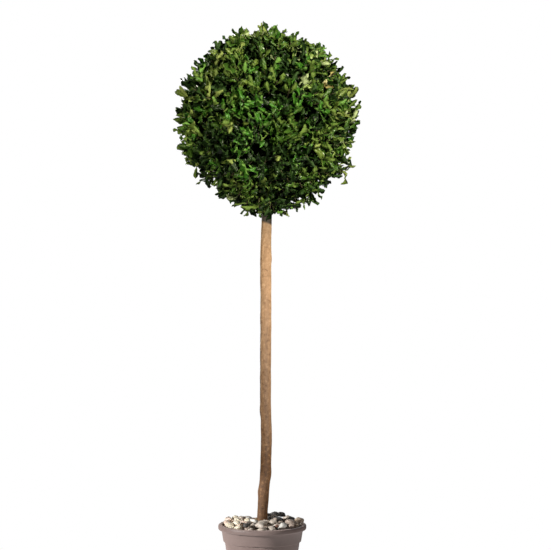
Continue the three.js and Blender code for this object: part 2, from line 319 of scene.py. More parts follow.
pot_profile = [
    *rounded(FOOT_RADIUS - FOOT_ROUND, FOOT_ROUND, FOOT_ROUND, -90, -10, 4),
    # the step out to the collar, its edges eased by a few tenths
    (WALL_TOP_RADIUS - 0.2, COLLAR_FOOT - 1.5),
    (WALL_TOP_RADIUS, COLLAR_FOOT - 0.2),
    (COLLAR_FOOT_RADIUS - 1, COLLAR_FOOT + 0.6),
    (COLLAR_FOOT_RADIUS - 0.2, COLLAR_FOOT + 1.1),
    (COLLAR_FOOT_RADIUS, COLLAR_FOOT + 2),
    # up the collar and over the lip
    (COLLAR_TOP_RADIUS - 0.1, LIP_FOOT - 0.8),
    (COLLAR_TOP_RADIUS + 0.6, LIP_FOOT),
    *rounded(RIM_RADIUS - LIP_ROUND, LIP_FOOT + LIP_ROUND, LIP_ROUND, -90, 0),
    *rounded(RIM_RADIUS - LIP_ROUND, POT_HEIGHT - LIP_ROUND, LIP_ROUND, 0, 90),
    *rounded(MOUTH_RADIUS + MOUTH_ROUND, POT_HEIGHT - MOUTH_ROUND, MOUTH_ROUND, 90, 180, 4),
    # down the inside to the floor
    (MOUTH_RADIUS, LIP_FOOT),
    (WALL_TOP_RADIUS - POT_WALL, COLLAR_FOOT),
    (FOOT_RADIUS - POT_WALL + 0.4, POT_FLOOR + 1),
    (FOOT_RADIUS - POT_WALL - 0.6, POT_FLOOR),
]
print(f"{len(pot_profile)} rings in the pot's profile")

# %% Pot shell and drain holes
POT_SIDES = 96
DRAINS = 6
DRAIN_RADIUS = 6
DRAIN_CIRCLE = 44

pot_rings = [(0, 0, height * MM, radius * MM) for radius, height in pot_profile]
pot = extruded("pot_shell", pot_rings, POT_SIDES)
for drain in range(DRAINS):
    bearing = (drain + 0.5) / DRAINS * 2 * math.pi
    middle = (DRAIN_CIRCLE * MM * math.cos(bearing), DRAIN_CIRCLE * MM * math.sin(bearing), 0)
    deselect()
    bpy.ops.mesh.primitive_cylinder_add(
        vertices=24, radius=DRAIN_RADIUS * MM, depth=4 * POT_FLOOR * MM, location=middle
    )
    drill = bpy.context.object
    apply_modifier(pot, "BOOLEAN", operation="DIFFERENCE", object=drill, solver="EXACT")
    bpy.data.objects.remove(drill)
deselect()
pot.select_set(True)
bpy.ops.object.shade_smooth_by_angle(angle=math.radians(40))
print(f"pot shell of {len(pot.data.polygons)} faces with {DRAINS} drain holes")

# %% [markdown]
# The plastic is polypropylene, coloured right through in a warm taupe and moulded with a fine matt grain.
# That gives the eye a soft, broad sheen. Handling leaves it cloudy, with dust on top of the lip and pale
# scuffs round the pot, so the colour comes from three slow noises rather than from one flat tone.

# %% Pot finish
plastic, tree = blank("moulded_polypropylene_taupe")
place = add(tree, "TexCoord")["Object"]
height = add(tree, "SeparateXYZ", {0: place})["Z"]
cloud = add(tree, "TexNoise", {"Vector": place, "Scale": 1 / (38 * MM), "Detail": 4.0})[0]
base = add(tree, "Mix", {0: cloud, 6: colour("#89756f"), 7: colour("#a48f88")}, data_type="RGBA")[2]

around = add(tree, "Mapping", {"Vector": place, "Scale": (1, 1, 14)})[0]
scratches = {"Vector": around, "Scale": 1 / (30 * MM), "Detail": 6.0, "Roughness": 0.7}
scuff = add(tree, "TexNoise", scratches)[0]
scuffed = add(tree, "MapRange", {"Value": scuff, "From Min": 0.6, "From Max": 0.8, "To Max": 0.35})[0]
worn = add(tree, "Mix", {0: scuffed, 6: base, 7: colour("#b9aaa3")}, data_type="RGBA")[2]

lip_top = POT_HEIGHT * MM
on_lip = {"Value": height, "From Min": lip_top - 2.5 * MM, "From Max": lip_top, "To Max": 0.6}
on_lip = add(tree, "MapRange", on_lip)[0]
dust = add(tree, "TexNoise", {"Vector": place, "Scale": 1 / (9 * MM), "Detail": 5.0})[0]
dusty = add(tree, "Math", {0: on_lip, 1: dust}, operation="MULTIPLY")[0]
tint = add(tree, "Mix", {0: dusty, 6: worn, 7: colour("#c2b0a8")}, data_type="RGBA")[2]

# The moulded grain is about 0.4 mm, and is drawn at 1.1 mm so that it shows.
grain = add(tree, "TexNoise", {"Vector": place, "Scale": 1 / (1.1 * MM), "Detail": 2.0})[0]
bump = add(tree, "Bump", {"Height": grain, "Strength": 0.22, "Distance": 0.0004})[0]
gloss = add(tree, "MapRange", {"Value": cloud, "To Min": 0.42, "To Max": 0.6})[0]
surface = {"Base Color": tint, "Roughness": gloss, "Diffuse Roughness": 0.9, "Normal": bump, "IOR": 1.49}
shader = add(tree, "BsdfPrincipled", surface)[0]
add(tree, "OutputMaterial", {"Surface": shader})
dress(pot, "pot", "pot_plastic", plastic)

# %% [markdown]
# ## Potting mix
#
# Under the pebbles the pot is filled with a damp mix of bark, peat and grit. Its solid already has the right
# shape, and it shows only through the drain holes, so it keeps its mesh and gets a crumbly material.

# %% Potting mix finish
soil, tree = blank("damp_potting_mix")
place = add(tree, "TexCoord")["Object"]
chip = add(tree, "TexVoronoi", {"Vector": place, "Scale": 1 / (5 * MM)})
crumb = add(tree, "TexNoise", {"Vector": place, "Scale": 1 / (1.5 * MM), "Detail": 5.0})[0]
shade = add(tree, "Mix", {0: crumb, 6: colour("#1d1510"), 7: colour("#4a3728")}, data_type="RGBA")[2]
bark = add(tree, "SeparateColor", {0: chip["Color"]})[0]
share = add(tree, "MapRange", {"Value": bark, "From Min": 0.7, "From Max": 0.9, "To Max": 0.7})[0]
tint = add(tree, "Mix", {0: share, 6: shade, 7: colour("#6b4a2f")}, data_type="RGBA")[2]
bump = add(tree, "Bump", {"Height": crumb, "Strength": 0.8, "Distance": 0.002})[0]
shader = add(tree, "BsdfPrincipled", {"Base Color": tint, "Roughness": 0.9, "Normal": bump})[0]
add(tree, "OutputMaterial", {"Surface": shader})

mix_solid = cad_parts["potting_mix"]
mix_solid.data.materials.clear()
mix_solid.data.materials.append(soil)

# %% [markdown]
# ## Stem
#
# The stem is one bare pole that was stripped of its side shoots. It leans a little, bends twice, and swells
# at old leaf scars. A tube along a curve would be quicker, but a disc that is extruded ring by ring can
# follow the lean, the taper and the scars at once. A subdivision then gives points enough for the bark.

# %% Stem line
STEM_FOOT = 139.3
STEM_TIP = 1016
STEM_LINE = np.array([  # how far the middle stands off the pot's axis at each height
    (0, 0, STEM_FOOT), (0, 0, 175), (7, 2, 285), (9.2, 3, 345), (7.4, 2, 455),
    (8.2, -2, 650), (8, -2, 780), (9.4, 1, 850), (11, 2, 890), (11, 2, STEM_TIP),
])
SCARS = [  # height, bearing, swelling and reach along the stem
    (425, math.pi, 1.3, 14), (770, 0.2, 1.3, 10), (505, -1.4, 1.4, 16), (640, 2.3, 1.2, 12),
    (243, math.pi, 1.9, 12), (283, 0.0, 1.6, 15),
]
STEM_TAPER = np.array([(240, 12.0), (330, 12.5), (760, 12.7), (850, 11.7)])  # height and radius
FLARE = 1.6  # how much wider the stem is at its foot
FLARE_HEIGHT = 45


def stem_middle(height):
    """The stem's middle at a height, on a smooth curve through the points of its line."""
    heights = STEM_LINE[:, 2]
    slopes = np.gradient(STEM_LINE[:, :2], heights, axis=0)
    after = int(np.clip(np.searchsorted(heights, height), 1, len(heights) - 1))
    span = heights[after] - heights[after - 1]
    t = (height - heights[after - 1]) / span
    start, end = STEM_LINE[after - 1, :2], STEM_LINE[after, :2]
    leave, arrive = slopes[after - 1] * span, slopes[after] * span
    bend = (1 - t) * leave - t * arrive + (1 - 2 * t) * (start - end)
    return (1 - t) * start + t * end + t * (1 - t) * bend


def stem_radius(height):
    """The taper, with a flare at the foot."""
    taper = np.interp(height, STEM_TAPER[:, 0], STEM_TAPER[:, 1])
    return taper + FLARE * max(0, 1 - (height - STEM_FOOT) / FLARE_HEIGHT) ** 2


halfway = (STEM_FOOT + STEM_TIP) / 2
print("stem middle halfway up:", stem_middle(halfway).round(1), "radius", round(stem_radius(halfway), 1))

# %% Stem mesh and bark relief
STEM_RINGS = 150
STEM_SIDES = 30
FISSURE = (2.6, 2.6, 26)  # the bark's furrows are ten times as long as wide
FISSURE_RISE = 0.55
SWELL_SPACING = 28
SWELL_RISE = 0.5
AXIS_ROOM = 4  # points nearer the axis are the middles of the two end discs

stem_rings = []
for height in np.linspace(STEM_FOOT, STEM_TIP, STEM_RINGS):
    x, y = stem_middle(height)
    stem_rings.append((x * MM, y * MM, height * MM, stem_radius(height) * MM))
stem = extruded("stem_bark", stem_rings, STEM_SIDES)
apply_modifier(stem, "SUBSURF", levels=1, render_levels=1)

for point in stem.data.vertices:
    place = point.co / MM
    middle = stem_middle(place.z)
    outward = Vector((place.x - middle[0], place.y - middle[1], 0))
    if outward.length < AXIS_ROOM:
        continue
    outward.normalize()
    swelling = 0
    for height, bearing, rise, reach in SCARS:
        facing = max(0, outward.x * math.cos(bearing) + outward.y * math.sin(bearing))
        swelling += rise * facing**3 * math.exp(-(((place.z - height) / reach) ** 2))
    furrow = noise.noise(Vector(axis / size for axis, size in zip(place, FISSURE)))
    swell = noise.noise(place / SWELL_SPACING)
    point.co += outward * MM * (swelling + FISSURE_RISE * furrow + SWELL_RISE * swell)
deselect()
stem.select_set(True)
bpy.ops.object.shade_smooth_by_angle(angle=math.radians(60))
print(f"stem of {len(stem.data.polygons)} faces from {STEM_FOOT} to {STEM_TIP} mm")

# %% [markdown]
# The bark is thin and dry, so it has no gloss. It is tan at the top and a darker brown near the pot, stained
# in spots and paler where it flakes. Just under the ball a collar of old dark bark was left, with a slanted
# lower edge, and it is painted darker still as the shadow that the ball casts there; painted shade also
# darkens the tan bark just below it. A picture of bark would repeat, so the colours follow the height on the
# stem, and two noises give the spots and the long streaks that run with the grain.

# %% Tones of the stem
BROWN_BELOW, TAN_ABOVE = 300, 700  # heights: darker brown below the one, tan above the other

bark_tan, tree = blank("thin_dry_tan_bark")
place = add(tree, "TexCoord")["Object"]
axis = add(tree, "SeparateXYZ", {0: place})
along = add(tree, "Mapping", {"Vector": place, "Scale": (1, 1, 0.1)})[0]
fibres = {"Vector": along, "Scale": 1 / (4 * MM), "Detail": 5.0, "Roughness": 0.6}
streak = add(tree, "TexNoise", fibres)[0]
blotch = add(tree, "TexNoise", {"Vector": place, "Scale": 1 / (22 * MM), "Detail": 3.0})[0]

uneven = add(tree, "MapRange", {"Value": blotch, "To Min": -0.12, "To Max": 0.12})[0]
climb = add(tree, "Math", {0: axis["Z"], 1: uneven}, operation="ADD")[0]
fresh = add(tree, "MapRange", {"Value": climb, "From Min": BROWN_BELOW * MM, "From Max": TAN_ABOVE * MM})[0]
tone_by_height = add(tree, "Mix", {0: fresh, 6: colour("#785433"), 7: colour("#caa279")}, data_type="RGBA")[2]
dark = add(tree, "Mix", {0: fresh, 6: colour("#4d321c"), 7: colour("#946c48")}, data_type="RGBA")[2]
pale = add(tree, "Mix", {0: fresh, 6: colour("#a2784c"), 7: colour("#ddba92")}, data_type="RGBA")[2]
vein = add(tree, "MapRange", {"Value": streak, "From Min": 0.45, "From Max": 0.7, "To Max": 0.5})[0]
veined = add(tree, "Mix", {0: vein, 6: tone_by_height, 7: dark}, data_type="RGBA")[2]
spots = {"Vector": place, "Scale": 1 / (7 * MM), "Detail": 5.0, "Roughness": 0.65}
mottle = add(tree, "TexNoise", spots)[0]
stained = add(tree, "MapRange", {"Value": mottle, "From Min": 0.46, "From Max": 0.32, "To Max": 0.85})[0]
spotted = add(tree, "Mix", {0: stained, 6: veined, 7: dark}, data_type="RGBA")[2]
flaking = add(tree, "MapRange", {"Value": mottle, "From Min": 0.54, "From Max": 0.66, "To Max": 0.85})[0]
flaked = add(tree, "Mix", {0: flaking, 6: spotted, 7: pale}, data_type="RGBA")[2]
print(f"the bark is fresh tan above {TAN_ABOVE} mm")

# %% Collar of old bark, and painted shade under the ball
COLLAR_SLOPE = 0.35  # how steeply the collar's lower edge slants across the stem
COLLAR_EDGE = (852, 857)  # heights between which the tan bark gives way to the old bark
SHADED_TOP = (790, 860)  # heights between which the tan bark darkens towards the ball, as painted shade

slant = {0: axis["X"], 1: COLLAR_SLOPE, 2: axis["Z"]}
slant = add(tree, "Math", slant, operation="MULTIPLY_ADD")[0]
edge = {"Value": slant, "From Min": COLLAR_EDGE[0] * MM, "From Max": COLLAR_EDGE[1] * MM}
edge = add(tree, "MapRange", edge)[0]
# The old bark is partly its own dark colour and partly a painted shadow of the ball above it.
old = add(tree, "Mix", {0: streak, 6: colour("#1c150e"), 7: colour("#43382a")}, data_type="RGBA")[2]
near_top = {"Value": slant, "From Min": SHADED_TOP[0] * MM, "From Max": SHADED_TOP[1] * MM, "To Max": 0.55}
near_top = add(tree, "MapRange", near_top)[0]
# Painted shade: the tan bark darkens just under the ball.
shaded_top = add(tree, "Mix", {0: near_top, 6: flaked, 7: colour("#6f563c")}, data_type="RGBA")[2]
tint = add(tree, "Mix", {0: edge, 6: shaded_top, 7: old}, data_type="RGBA")[2]

bump = add(tree, "Bump", {"Height": streak, "Strength": 0.5, "Distance": 0.0008})[0]
surface = {"Base Color": tint, "Roughness": 0.72, "Diffuse Roughness": 1.0, "Normal": bump}
shader = add(tree, "BsdfPrincipled", surface)[0]
add(tree, "OutputMaterial", {"Surface": shader})
dress(stem, "stem", "bark", bark_tan)

# %% [markdown]
# ## Many small things in one mesh
#
# Pebbles, twigs and leaves come by the hundred or the thousand. One object for each would choke Blender, and
# instances are lost on export. So each is modelled once, its copies' points are worked out in one array, and
# the arrays go into one mesh. The UV map is called blade, because only the leaves read it.

# %% Joining copies
def unit(ways):
    """The same directions, each made one long."""
    return ways / np.linalg.norm(ways, axis=-1, keepdims=True)


def corners_of(mesh, field, width=1):
    """One field of a mesh's face corners, as an array."""
    values = np.empty(len(mesh.loops) * width, float if width > 1 else int)
    source = mesh.uv_layers[0].data if field == "uv" else mesh.loops
    source.foreach_get(field, values)
    return values


def joined(name, groups):
    """One object of many copies. A group is a modelled mesh, and the places of its points in every copy."""
    points, corners, starts, slots, uvs = [], [], [], [], []
    point_count = corner_count = 0
    for base, places in groups:
        copies, size = places.shape[:2]
        step = np.arange(copies)[:, None]
        first = np.empty(len(base.polygons), int)
        base.polygons.foreach_get("loop_start", first)
        slot = np.empty(len(base.polygons), int)
        base.polygons.foreach_get("material_index", slot)
        points.append(places.reshape(-1, 3))
        corners.append((corners_of(base, "vertex_index") + step * size + point_count).ravel())
        starts.append((first + step * len(base.loops) + corner_count).ravel())
        slots.append(np.tile(slot, copies))
        uvs.append(np.tile(corners_of(base, "uv", 2), copies))
        point_count += copies * size
        corner_count += copies * len(base.loops)
    mesh = bpy.data.meshes.new(name)
    mesh.vertices.add(point_count)
    mesh.vertices.foreach_set("co", np.concatenate(points).ravel())
    mesh.loops.add(corner_count)
    mesh.loops.foreach_set("vertex_index", np.concatenate(corners))
    mesh.polygons.add(sum(len(start) for start in starts))
    mesh.polygons.foreach_set("loop_start", np.concatenate(starts))
    mesh.polygons.foreach_set("material_index", np.concatenate(slots))
    mesh.uv_layers.new(name="blade").data.foreach_set("uv", np.concatenate(uvs))
    mesh.update(calc_edges=True)
    mesh.shade_smooth()
    piece = bpy.data.objects.new(name, mesh)
    bpy.context.collection.objects.link(piece)
    return piece


def as_pattern(piece):
    """Takes a modelled shape off the scene and keeps its mesh, for copies to be made from."""
    mesh = piece.data
    bpy.data.objects.remove(piece)
    return mesh


# %% [markdown]
# ## Pebbles
#
# The pot is dressed with mixed river stones, worn smooth but still angular. A sphere with noise looks like
# dough, so each pattern stone is a sphere with flats cut off it, and its edges are then worn round by a
# remesh and a smoothing. At the end most of its faces are taken out, because it is copied so often.

# %% Pattern stones
STONE_PATTERNS = 6
FLATS = 8  # how many are cut off a stone
FLAT_REACH = (0.5, 0.8)  # how far out a flat lies, as a share of the radius
REMESH_GRID = 0.1  # wears the edges round, as a share of the radius too
KEPT_FACES = 0.05
STONE_SEED = 60


def worn_stone(name, seed):
    """A stone of about unit radius with a few flats and worn edges."""
    random = np.random.default_rng(seed)
    deselect()
    bpy.ops.mesh.primitive_ico_sphere_add(subdivisions=3, radius=1)
    stone = open_piece(name)
    for way in unit(random.normal(size=(FLATS, 3))):
        flat = way * random.uniform(*FLAT_REACH)
        bpy.ops.mesh.select_all(action="SELECT")
        bpy.ops.mesh.bisect(plane_co=flat, plane_no=way, use_fill=True, clear_outer=True)
    close_piece(stone, 1e-4)
    apply_modifier(stone, "REMESH", mode="VOXEL", voxel_size=REMESH_GRID)
    apply_modifier(stone, "SMOOTH", factor=0.5, iterations=1)
    apply_modifier(stone, "DECIMATE", ratio=KEPT_FACES)
    stone.data.uv_layers.new(name="blade")
    return as_pattern(stone)


stone_patterns = [worn_stone(f"stone_{number}", STONE_SEED + number) for number in range(STONE_PATTERNS)]
print("faces of the pattern stones:", [len(mesh.polygons) for mesh in stone_patterns])

# %% [markdown]
# The stones lie as they were poured: each comes to rest on the pot's filling or on the stones below it. A
# physics run would do it, but slowly. Here a map holds the height of the heap at every millimetre. A stone,
# taken as an ellipsoid, is let down at several places, and stays where it lies deepest under the surface
# that the heap should have. A few lie over the pot's lip. Small ones come last and only fill the gaps.

# %% Heap of stones
STONE_BED = 158  # height of the grit at the pot's edge
HEAP_EDGE = 179  # how high the stones may stand there
HEAP = 13  # how much higher they may stand elsewhere
PEAK = (38, 40, 45)  # x, y and spread of the heap at the back right
DIP = (-20, 65, 40)  # the same for the dip behind the stem
ON_LIP = 5  # how far a stone may lie over the pot's lip
STEM_HOLE = 15  # radius that stays free round the stem
BLOCKED = 1e4  # height on the map where no stone may lie

half_width = MOUTH_RADIUS + ON_LIP + 1
cells = np.arange(-half_width, half_width + 1)
grid_x, grid_y = np.meshgrid(cells, cells, indexing="ij")


def mound(x, y, middle_x, middle_y, spread):
    """A round hill of height 1."""
    return np.exp(-((x - middle_x) ** 2 + (y - middle_y) ** 2) / spread**2)


def heap_height(x, y):
    """How far the heap stands up: in the middle and at the back right, with a dip behind the stem."""
    dome = 1 - (np.hypot(x, y) / MOUTH_RADIUS) ** 2
    return HEAP * (0.45 * dome + 0.6 * mound(x, y, *PEAK) - 0.6 * mound(x, y, *DIP))


def bed_height(x, y):
    """Height of the grit that the stones lie on."""
    return STONE_BED + 0.4 * heap_height(x, y)


off_axis = np.hypot(grid_x, grid_y)
heap = bed_height(grid_x, grid_y)
heap[off_axis > MOUTH_RADIUS - 0.5] = POT_HEIGHT + 0.3  # just clear of the pot's lip
heap[(off_axis > MOUTH_RADIUS + ON_LIP) | (off_axis < STEM_HOLE)] = BLOCKED
wanted = HEAP_EDGE + heap_height(grid_x, grid_y)
free_cells = heap[heap < BLOCKED]
print(f"the heap starts at {free_cells.min():.1f} to {free_cells.max():.1f} mm")

# %% Letting a stone down
STONE_MOST = 19  # half the length of the longest stone
TRIALS = 36


def turn_of(random, tilt):
    """A rotation: any bearing, tilted a little off level."""
    bearing = random.uniform(0, 2 * math.pi)
    lean_x, lean_y = random.uniform(-tilt, tilt, 2)
    return np.array(Euler((lean_x, lean_y, bearing), "ZXY").to_matrix())


def footprint(halves, turn):
    """The map cells that a stone covers from its middle, with its underside and top over them."""
    form = turn @ np.diag(1 / halves**2) @ turn.T
    span = np.arange(-STONE_MOST, STONE_MOST + 1)
    x, y = (side.ravel() for side in np.meshgrid(span, span, indexing="ij"))
    tilt = form[0, 2] * x + form[1, 2] * y
    level = form[0, 0] * x**2 + 2 * form[0, 1] * x * y + form[1, 1] * y**2 - 1
    depth = tilt**2 - form[2, 2] * level
    under = depth > 0
    root = np.sqrt(depth[under])
    return x[under], y[under], (-tilt[under] - root) / form[2, 2], (-tilt[under] + root) / form[2, 2]


def deepest_place(reach, x, y, underside, top, random):
    """Best of several places: how far the stone stands above the wanted surface, its rest and its cells."""
    best = None
    for trial in range(TRIALS):
        off_middle = reach * math.sqrt(random.uniform())
        bearing = random.uniform(0, 2 * math.pi)
        column = int(round(half_width + off_middle * math.cos(bearing))) + x
        row = int(round(half_width + off_middle * math.sin(bearing))) + y
        covered = np.concatenate([column, row])
        if covered.min() < 0 or covered.max() >= len(cells):
            continue
        rest = (heap[column, row] - underside).max()
        excess = (rest + top - wanted[column, row]).max()
        if rest < BLOCKED / 2 and (best is None or excess < best[0]):
            best = (excess, rest, column, row)
    return best


print("cells under a round stone:", len(footprint(np.full(3, 10.0), np.eye(3))[0]))

# %% Pouring the stones
STONES = 300
LARGE_STONES = 190  # the rest are small ones
STONE_MIDDLE = 13  # half the length that three in four large stones pass
STONE_LEAST = 9  # half the length of the shortest large stone
SMALL_LEAST = 5  # half the length of the shortest stone
STONE_WIDTH = (0.7, 0.95)  # widths as shares of the length
STONE_HEIGHT = (0.42, 0.6)  # heights as shares of the length
EDGE_ROOM = 0.4  # share of half the length that a stone's middle keeps off the pot's edge
STONE_TILT = 0.35  # most that a stone leans, in radians
LARGE_PROUD = 3  # how far a large stone may stand above the wanted surface
SMALL_PROUD = -5  # a small one has to lie below it, in a gap

random = np.random.default_rng(52)
stones = []
for number in range(STONES):
    lengths = (STONE_MIDDLE, STONE_MOST) if number % 4 else (STONE_LEAST, STONE_MIDDLE)
    length = random.uniform(*lengths)
    if number >= LARGE_STONES:
        length = random.uniform(SMALL_LEAST, STONE_LEAST)
    halves = length * np.array([1, random.uniform(*STONE_WIDTH), random.uniform(*STONE_HEIGHT)])
    turn = turn_of(random, STONE_TILT)
    x, y, underside, top = footprint(halves, turn)
    best = deepest_place(MOUTH_RADIUS - EDGE_ROOM * length, x, y, underside, top, random)
    proudest = LARGE_PROUD if number < LARGE_STONES else SMALL_PROUD
    if best is None or best[0] > proudest:
        continue
    rest, column, row = best[1:]
    heap[column, row] = np.maximum(heap[column, row], rest + top)
    middle = np.array([cells[column[x == 0][0]], cells[row[y == 0][0]], rest])
    stones.append((middle, halves, turn, random.integers(STONE_PATTERNS)))
print(f"{len(stones)} stones came to rest, the highest at {heap[heap < BLOCKED / 2].max():.1f} mm")

# %% [markdown]
# The stones' colours are dealt out by where they lie: cream and peach to the left, ochre and white before the
# stem, and slate heaped up at the back right. One rust stone lies at the front. Colours drawn blindly from a
# list would scatter evenly, so each stone draws its own with the odds of its place.

# %% Colours of the stones
STONE_TINTS = {
    # ground tone, second tone, where most of them lie (x, y in mm), how far they spread, how common they are
    "cream": ("#efdfbe", "#f8f0de", (-72, -10), 34, 0.9),
    "peach": ("#e6c8b0", "#f2dfd0", (-58, 8), 30, 0.5),
    "white": ("#e6e1d6", "#f6f3ea", (-30, -20), 36, 0.4),
    "ochre": ("#cda566", "#e2c490", (-24, 0), 20, 0.4),
    "grey": ("#c8b8a8", "#dfd3c5", (0, -45), 45, 0.8),
    # brown and tan, dealt to the right, are toned a little darker, partly as painted shade on that side
    "brown": ("#9f8b7b", "#bfae9f", (48, -30), 40, 0.8),
    "slate": ("#3f3b38", "#6f6a65", (45, 50), 28, 0.8),
    "tan": ("#ad9883", "#c8b6a0", (80, -5), 30, 0.3),
    "rust": ("#855e50", "#ab8878", (30, -62), 20, 0.0),
}
ELSEWHERE = 0.04  # odds of a common colour far from where it belongs
AT_HOME = 3  # what its own place adds to them


def tint_of_stone(middle, random):
    """The colour of a stone, more often one that belongs where it lies."""
    weights = []
    for ground, second, centre, spread, common in STONE_TINTS.values():
        nearness = math.exp(-((math.dist(middle[:2], centre) / spread) ** 2))
        weights.append(common * (ELSEWHERE + AT_HOME * nearness))
    return random.choice(list(STONE_TINTS), p=np.array(weights) / sum(weights))


tint_of = [tint_of_stone(middle, random) for middle, halves, turn, pattern in stones]
off_rust = [math.dist(middle[:2], STONE_TINTS["rust"][2]) for middle, halves, turn, pattern in stones]
tint_of[np.argmin(off_rust)] = "rust"
print("stones of each colour:", {name: tint_of.count(name) for name in STONE_TINTS})

# %% [markdown]
# River stones were rubbed smooth by water, so they have a low, uneven polish. Each colour is one joined piece
# with a ground tone, a second tone in soft clouds, and dark mineral specks. That gives the eye stones that
# differ, though only six shapes are behind them.

# %% River stone finish
def river_stone(name, ground, second):
    """A stone worn smooth, in two tones with dark specks."""
    material, tree = blank(f"river_stone_{name}")
    place = add(tree, "TexCoord")["Object"]
    bands = {"Vector": place, "Scale": 1 / (8 * MM), "Detail": 5.0, "Distortion": 0.8}
    cloud = add(tree, "TexNoise", bands)[0]
    tone = add(tree, "MapRange", {"Value": cloud, "From Min": 0.35, "From Max": 0.65})[0]
    mottled = add(tree, "Mix", {0: tone, 6: colour(ground), 7: colour(second)}, data_type="RGBA")[2]
    # The mineral specks are about 0.3 mm, and are drawn at 1 mm so that they show.
    speck = add(tree, "TexNoise", {"Vector": place, "Scale": 1 / (1 * MM), "Detail": 2.0})[0]
    dark = add(tree, "MapRange", {"Value": speck, "From Min": 0.62, "From Max": 0.72, "To Max": 0.4})[0]
    speckled = add(tree, "Mix", {0: dark, 6: mottled, 7: colour("#4a443c")}, data_type="RGBA")[2]
    bump = add(tree, "Bump", {"Height": cloud, "Strength": 0.3, "Distance": 0.001})[0]
    polish = add(tree, "MapRange", {"Value": cloud, "To Min": 0.42, "To Max": 0.75})[0]
    shader = add(tree, "BsdfPrincipled", {"Base Color": speckled, "Roughness": polish, "Normal": bump})[0]
    add(tree, "OutputMaterial", {"Surface": shader})
    return material


for name, (ground, second, *where) in STONE_TINTS.items():
    groups = []
    for number, mesh in enumerate(stone_patterns):
        places = [
            middle + (points_of(mesh) * halves) @ turn.T
            for (middle, halves, turn, pattern), tint in zip(stones, tint_of)
            if tint == name and pattern == number
        ]
        if places:
            groups.append((mesh, np.array(places) * MM))
    if groups:
        dress(joined(f"pebbles_{name}", groups), "pebbles", "pebbles", river_stone(name, ground, second))

# %% [markdown]
# Between the stones and the potting mix lies a bed of wet grit. It is a shallow disc with a hole for the
# stem, extruded like the pot, and its top is roughened so that what shows between the stones is not flat. A
# cell pattern gives every grain its own shade.

# %% Bed of grit
BED_FOOT = STEM_FOOT  # both stand on the potting mix
WALL_GAP = 0.5
GRIT_LUMP = 5
GRIT_ROUGHNESS = 1.2


def pot_inside(height):
    """Radius of the pot's inside under its lip."""
    return np.interp(height, (COLLAR_FOOT, LIP_FOOT), (WALL_TOP_RADIUS - POT_WALL, MOUTH_RADIUS))


# Radius and height of each ring: out along the foot, up the pot's wall and in to the stem again
hole = stem_radius(BED_FOOT)
wall_heights = [BED_FOOT, *np.linspace(BED_FOOT + 2, STONE_BED, 5)]
bed_rings = [(hole + 2.5, BED_FOOT + 0.5), (hole + 3, BED_FOOT)]
bed_rings += [(pot_inside(height) - WALL_GAP, height) for height in wall_heights]
bed_rings += [(reach, bed_height(0, reach)) for reach in range(84, 16, -4)]
bed_rings.append((hole + 2.2, STONE_BED + 2))

deselect()
radius, height = bed_rings[0]
bpy.ops.mesh.primitive_circle_add(vertices=72, radius=radius * MM, location=(0, 0, height * MM))
bed = open_piece("grit_bed")
for before, after in zip(bed_rings, bed_rings[1:] + bed_rings[:1]):
    rise = (0, 0, (after[1] - before[1]) * MM)
    bpy.ops.mesh.extrude_region_move(TRANSFORM_OT_translate={"value": rise})
    bpy.ops.transform.resize(value=(after[0] / before[0], after[0] / before[0], 1))
close_piece(bed, 1e-5)
for point in bed.data.vertices:
    if point.co.z > (STONE_BED + 0.5) * MM:
        point.co.z += GRIT_ROUGHNESS * MM * noise.noise(point.co / (GRIT_LUMP * MM))
bed.data.shade_smooth()

grit, tree = blank("wet_grit")
place = add(tree, "TexCoord")["Object"]
grain = add(tree, "TexVoronoi", {"Vector": place, "Scale": 1 / (3 * MM)})
lightness = add(tree, "SeparateColor", {0: grain["Color"]})[0]
tint = add(tree, "Mix", {0: lightness, 6: colour("#544940"), 7: colour("#94877a")}, data_type="RGBA")[2]
bump = add(tree, "Bump", {"Height": grain["Distance"], "Strength": 0.7, "Distance": 0.002}, invert=True)[0]
shader = add(tree, "BsdfPrincipled", {"Base Color": tint, "Roughness": 0.75, "Normal": bump})[0]
add(tree, "OutputMaterial", {"Surface": shader})
dress(bed, "pebbles", "pebbles", grit)

# %% [markdown]
# ## How the ball grows
#
# A ball like this is clipped for years, and each cut makes the twigs fork. The rule is the solids' own: the
# leader rises to the middle, boughs leave it evenly in all directions, and each twig starts at the nearest
# bough. It goes one step finer here: each leafy shoot starts at the nearest twig. All work is in mm.

# %% Boughs and twigs
CENTRE = np.array([11.0, 2.0, 1086.0])
RADIUS = 208.0
BOUGHS = 16
BOUGH_REACH = 0.5  # as a share of the radius
TWIGS = 122
TWIG_LEAST, TWIG_SPAN = 0.94, 0.1  # least reach of a twig, and how much more it may have
GOLDEN_TURN = math.pi * (3 - math.sqrt(5))  # spreads directions, and leaves round a shoot, evenly
STRAYS = [  # shoots that stand out furthest: degrees round from +X towards +Z, and reach
    (92, 226), (15, 219), (53, 218), (108, 222), (174, 216), (204, 229),
    (242, 218), (262, 214), (281, 221), (300, 228), (325, 242),
]


def seeded(seed):
    """The solids' own small generator, so that the boughs and twigs come out the same."""
    state = seed

    def draw():
        nonlocal state
        state = (state + 0x6D2B79F5) & 0xFFFFFFFF
        mixed = (state ^ (state >> 15)) * (1 | state) & 0xFFFFFFFF
        mixed = (mixed + (mixed ^ (mixed >> 7)) * (61 | mixed) & 0xFFFFFFFF) ^ mixed
        mixed &= 0xFFFFFFFF
        return (mixed ^ (mixed >> 14)) / 4294967296

    return draw


def spread_ways(count, nudge, draw):
    """Evenly spread directions, each nudged a little."""
    ways = []
    for number in range(count):
        up = 1 - (2 * number + 1) / count
        level = math.sqrt(1 - up * up)
        bearing = GOLDEN_TURN * number
        way = np.array([level * math.cos(bearing), level * math.sin(bearing), up])
        ways.append(way + [nudge * (2 * draw() - 1) for axis in range(3)])
    return unit(np.array(ways))


